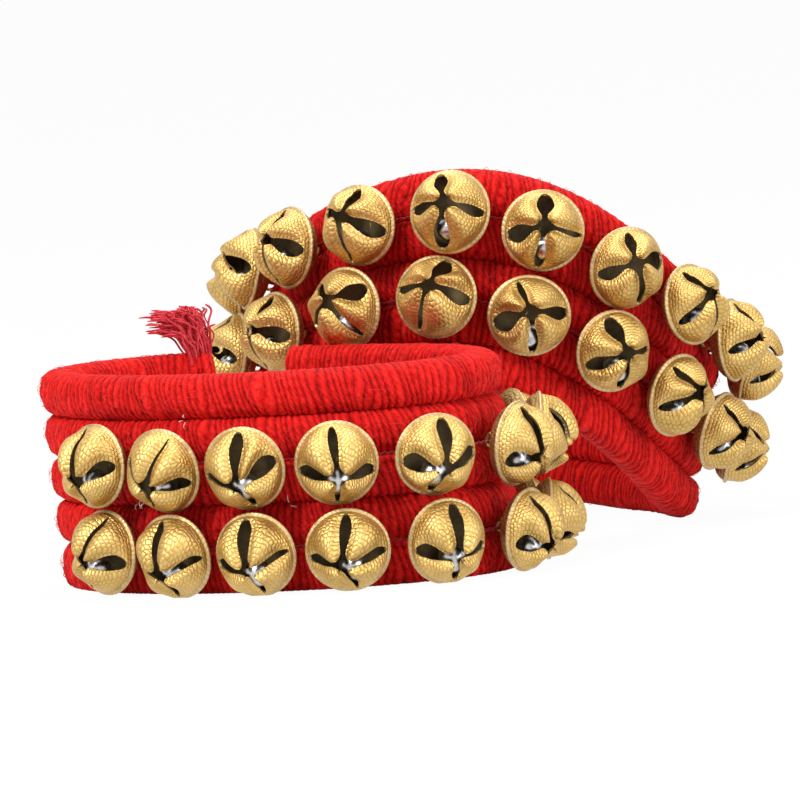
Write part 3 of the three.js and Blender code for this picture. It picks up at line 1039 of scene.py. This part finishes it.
    def add_pellet(self, settings, name, place, rng):
        """Slightly lumpy ball resting on the lower wall inside the bell."""
        ball = bmesh.new()
        radius = settings.pellet / 2
        bmesh.ops.create_icosphere(ball, subdivisions=3, radius=radius)
        phases = rng.uniform(0, 2 * math.pi, 3)
        for vert in ball.verts:
            x, y, z = vert.co / radius
            waving = zip((3 * x, 4 * y, 5 * z), phases)
            vert.co *= 1 + 0.012 * sum(math.sin(turn + phase) for turn, phase in waving)
        axis = place.to_3x3().col[2]
        down = Vector((0, 0, -1))
        down = (down - axis * down.dot(axis)).normalized()
        side = down.cross(axis) * rng.uniform(-0.9, 0.9)
        ahead = axis * (EQUATOR + rng.uniform(-0.2, 1.6))
        spot = place.translation + (ahead + down * PELLET_DROP + side) * MM
        bmesh.ops.translate(ball, verts=ball.verts, vec=spot)
        mesh = bpy.data.meshes.new(name + "_pellet")
        ball.to_mesh(mesh)
        ball.free()
        mesh.materials.append(self.steel)
        mesh.shade_smooth()
        pellet = add_object(name + "_pellet", mesh)
        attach(pellet, name)


class GHUNGROO_OT_fuzz(Operator):
    """Adds loose fibres and pale thread ends to the bands"""

    bl_idname = "ghungroo.fuzz"
    bl_label = "Fuzz"

    def execute(self, context):
        settings = context.scene.ghungroo_ropes
        for strip in STRIPS:
            self.fibres(settings, strip)
        self.thread_ends(STRIPS[0])
        return {"FINISHED"}

    def fibres(self, settings, strip):
        """Fine bowed hairs on the ropes, none where the eyes of the bells turn."""
        rng = np.random.default_rng(900 + strip.side)
        columns = strip.column(np.arange(BELL_COLUMNS))
        grooves = np.array([strip.groove(row) for row in ("low", "high")])
        runs = []
        for _ in range(settings.fibres):
            length = rng.uniform(strip.start + 2, strip.end - 2)
            index = int(rng.integers(0, ROPE_COUNT))
            angle = rng.uniform(-0.6, 2.2)
            if strip.side < 0:
                angle = rng.uniform(-2.2, 2.2)
            span = rng.uniform(1.0, 3.4)
            heading = rng.uniform(0, 2 * math.pi)
            bow = rng.uniform(0.15, 0.85)
            steps = np.linspace(0, 1, 6)
            radius = ROPE_RADIUS - 0.1 + bow * np.sin(math.pi * steps) + 0.25 * steps
            turn = angle + span * math.sin(heading) * steps / ROPE_RADIUS
            run = length + span * math.cos(heading) * steps
            level = strip.level(index) + radius * np.sin(turn)
            beside = np.abs(run[:, None] - columns).min(axis=1) < BARE_AT_EYE
            inside = np.abs(level[:, None] - grooves).min(axis=1) < BARE_IN_GROOVE
            if np.any(beside & inside):
                continue
            points = strip.place(run, radius * np.cos(turn), level)
            points[..., 2] = np.maximum(points[..., 2], FIBRE_FLOOR)
            runs.append(points)
        fuzz = curve_object(strip.prefix + "_fuzz", runs, FIBRE_RADIUS, red_fuzz())
        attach(fuzz, strip.body)

    def thread_ends(self, strip):
        """Short pale sewing threads that show beside a few bells."""
        rng = np.random.default_rng(77)
        runs = []
        for column, ahead, level in ((1, 2.0, 13.0), (0, 5.0, -3.0), (1, -8.0, -13.5), (2, 6.0, -4.0)):
            for _ in range(3):
                steps = np.linspace(0, 1, 6)
                run = strip.column(column) + ahead + rng.normal(0, 0.5) + rng.uniform(-1.2, 1.2) * steps
                height = level + rng.normal(0, 0.5) + rng.uniform(-1.6, 1.6) * steps
                out = ROPE_RADIUS + 0.1 + 0.5 * np.sin(math.pi * steps)
                runs.append(strip.place(run, out, height))
        threads = curve_object("upright_thread_ends", runs, THREAD_RADIUS, pale_thread())
        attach(threads, strip.body)


class GHUNGROO_OT_stage(Operator):
    """Sets the floor, the light and the camera"""

    bl_idname = "ghungroo.stage"
    bl_label = "Stage"

    def execute(self, context):
        self.floor()
        self.world(context.scene)
        self.lights()
        self.camera(context.scene)
        context.scene.view_settings.view_transform = "Standard"
        return {"FINISHED"}

    def seen(self, g):
        """One for rays that show the background itself: straight, mirrored or through glass."""
        path = g.node("LightPath")
        mirrored = g.math("MAXIMUM", g.out(path, "Is Glossy Ray"), g.out(path, "Is Transmission Ray"))
        return g.math("MAXIMUM", g.out(path, "Is Camera Ray"), mirrored)

    def floor(self):
        size = 6.0
        points = np.array([[-size, -size, 0], [size, -size, 0], [size, size, 0], [-size, size, 0]])
        material, g = new_material("pale_floor")
        seen = self.seen(g)
        matt = g.node("BsdfDiffuse", {}, {"Color": (0.86, 0.86, 0.86, 1.0)})
        white = g.node("Emission", {}, {"Color": (1.0, 1.0, 1.0, 1.0), "Strength": 1.0})
        mixed = g.node("MixShader", {}, {0: seen * 0.96, 1: g.out(matt), 2: g.out(white)})
        g.node("OutputMaterial", {}, {"Surface": g.out(mixed)})
        floor = mesh_object("floor", points, [[0, 1, 2, 3]], [material])

    def world(self, scene):
        world = bpy.data.worlds.new("Studio")
        world.use_nodes = True
        g = Graph(world.node_tree)
        ray = g.out(g.node("TexCoord"), "Generated")
        height = g.out(g.node("SeparateXYZ", {}, {0: ray}), "Z")
        tone = g.ramp(height * 0.5 + 0.5, [
            (0.40, (0.20, 0.20, 0.20)), (0.56, (0.30, 0.30, 0.31)), (0.80, (0.62, 0.62, 0.63))])
        soft = g.node("Background", {}, {"Color": tone, "Strength": 0.8})
        white = g.node("Background", {}, {"Color": (1.0, 1.0, 1.0, 1.0), "Strength": 1.0})
        mixed = g.node("MixShader", {}, {0: self.seen(g), 1: g.out(soft), 2: g.out(white)})
        g.node("OutputWorld", {}, {"Surface": g.out(mixed)})
        scene.world = world

    def lights(self):
        aim = Vector((0.0, 0.0, 0.03))
        for name, place, size, power in (
            ("key", (-0.55, -0.85, 0.95), 0.55, 13.0),
            ("fill", (0.95, -0.75, 0.45), 0.8, 6.0),
            ("top", (0.1, 0.35, 1.15), 0.7, 8.0),
        ):
            data = bpy.data.lights.new(name, "AREA")
            data.shape = "DISK"
            data.size = size
            data.energy = power
            lamp = add_object(name, data)
            lamp.location = place
            lamp.rotation_euler = (aim - Vector(place)).to_track_quat("-Z", "Y").to_euler()

    def camera(self, scene):
        settings = scene.ghungroo_stage
        data = bpy.data.cameras.new("Camera")
        data.sensor_width = 36.0
        data.lens = data.sensor_width * settings.scale * settings.distance
        data.clip_end = 50.0
        camera = add_object("Camera", data)
        c, s = math.cos(settings.elevation), math.sin(settings.elevation)
        ahead = Vector((0.0, c, -s))
        level_up = Vector((0.0, s, c))
        side = Vector((1.0, 0.0, 0.0))
        turn = settings.roll
        right = side * math.cos(turn) - level_up * math.sin(turn)
        up = side * math.sin(turn) + level_up * math.cos(turn)
        pose = Matrix((right, up, -ahead)).transposed().to_4x4()
        pose.translation = Vector(settings.target) - ahead * settings.distance
        camera.matrix_world = pose
        scene.camera = camera


class GHUNGROO_PT_panel(Panel):
    """Sidebar panel with the sizes and the build buttons"""

    bl_idname = "GHUNGROO_PT_panel"
    bl_label = "Ghungroo"
    bl_space_type = "VIEW_3D"
    bl_region_type = "UI"
    bl_category = "Ghungroo"

    def draw(self, context):
        scene = context.scene
        groups = (scene.ghungroo_ropes, scene.ghungroo_bells, scene.ghungroo_stage)
        for group in groups:
            box = self.layout.box()
            for key in group.bl_rna.properties.keys():
                if key not in {"rna_type", "name"}:
                    box.prop(group, key)
        for operator in OPERATORS:
            self.layout.operator(operator.bl_idname)


OPERATORS = (
    GHUNGROO_OT_stage,
    GHUNGROO_OT_ropes,
    GHUNGROO_OT_lacings,
    GHUNGROO_OT_ties,
    GHUNGROO_OT_bells,
    GHUNGROO_OT_fuzz,
)
GROUPS = {
    "ghungroo_ropes": GhungrooRopeSettings,
    "ghungroo_bells": GhungrooBellSettings,
    "ghungroo_stage": GhungrooStageSettings,
}


def register():
    for group in GROUPS.values():
        bpy.utils.register_class(group)
    for key, group in GROUPS.items():
        setattr(bpy.types.Scene, key, PointerProperty(type=group))
    for operator in OPERATORS:
        bpy.utils.register_class(operator)
    bpy.utils.register_class(GHUNGROO_PT_panel)


def unregister():
    bpy.utils.unregister_class(GHUNGROO_PT_panel)
    for operator in reversed(OPERATORS):
        bpy.utils.unregister_class(operator)
    for key, group in GROUPS.items():
        delattr(bpy.types.Scene, key)
        bpy.utils.unregister_class(group)


def main():
    register()
    bpy.ops.ghungroo.stage()
    bpy.ops.ghungroo.ropes()
    bpy.ops.ghungroo.lacings()
    bpy.ops.ghungroo.ties()
    bpy.ops.ghungroo.bells()
    bpy.ops.ghungroo.fuzz()


if __name__ == "__main__":
    main()
